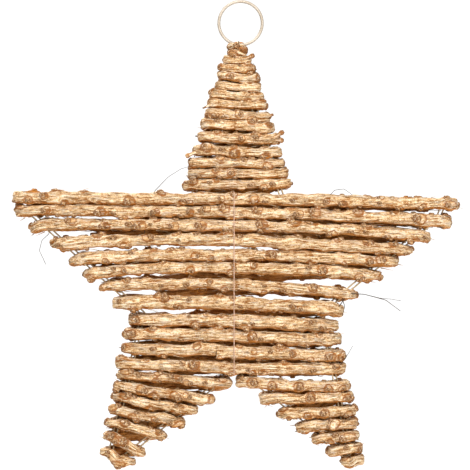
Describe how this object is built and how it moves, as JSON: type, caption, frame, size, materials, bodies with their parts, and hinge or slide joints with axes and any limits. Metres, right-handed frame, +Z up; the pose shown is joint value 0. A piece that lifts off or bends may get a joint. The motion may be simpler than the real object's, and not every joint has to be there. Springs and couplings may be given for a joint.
{
  "type": "hanging star ornament",
  "caption": "Flat five-pointed star of knotty gilded vine wound in level rows over a wire frame, hung from a round ring at its top point.",
  "frame": {"origin": "inside top of the hanging ring, where a nail or hook bears", "axes": "+Z up, away from the star; the star lies in the XZ plane and its front faces -Y; +X is to the viewer's right"},
  "size_m": [0.29, 0.0234, 0.3033],
  "materials": {
    "ring_brass": "bright, lightly brushed",
    "frame_wire": "gold-coloured drawn wire, satin",
    "binding_wire": "thin pale wire, satin",
    "gilded_vine": "bark sprayed gold, ridged and knotty, brown in the cracks"
  },
  "bodies": {
    "root": {"hanging_ring": "ring_brass", "frame_wire_outer": "frame_wire", "frame_wire_inner": "frame_wire", "binding_wire": "binding_wire", "vine_tie": "gilded_vine", "vine_cone_upper": "gilded_vine", "vine_cone_lower": "gilded_vine", "vine_arms_upper": "gilded_vine", "vine_arms_lower": "gilded_vine", "vine_waist": "gilded_vine", "vine_hips": "gilded_vine", "vine_leg_left": "gilded_vine", "vine_leg_right": "gilded_vine"}
  },
  "joints": []
}
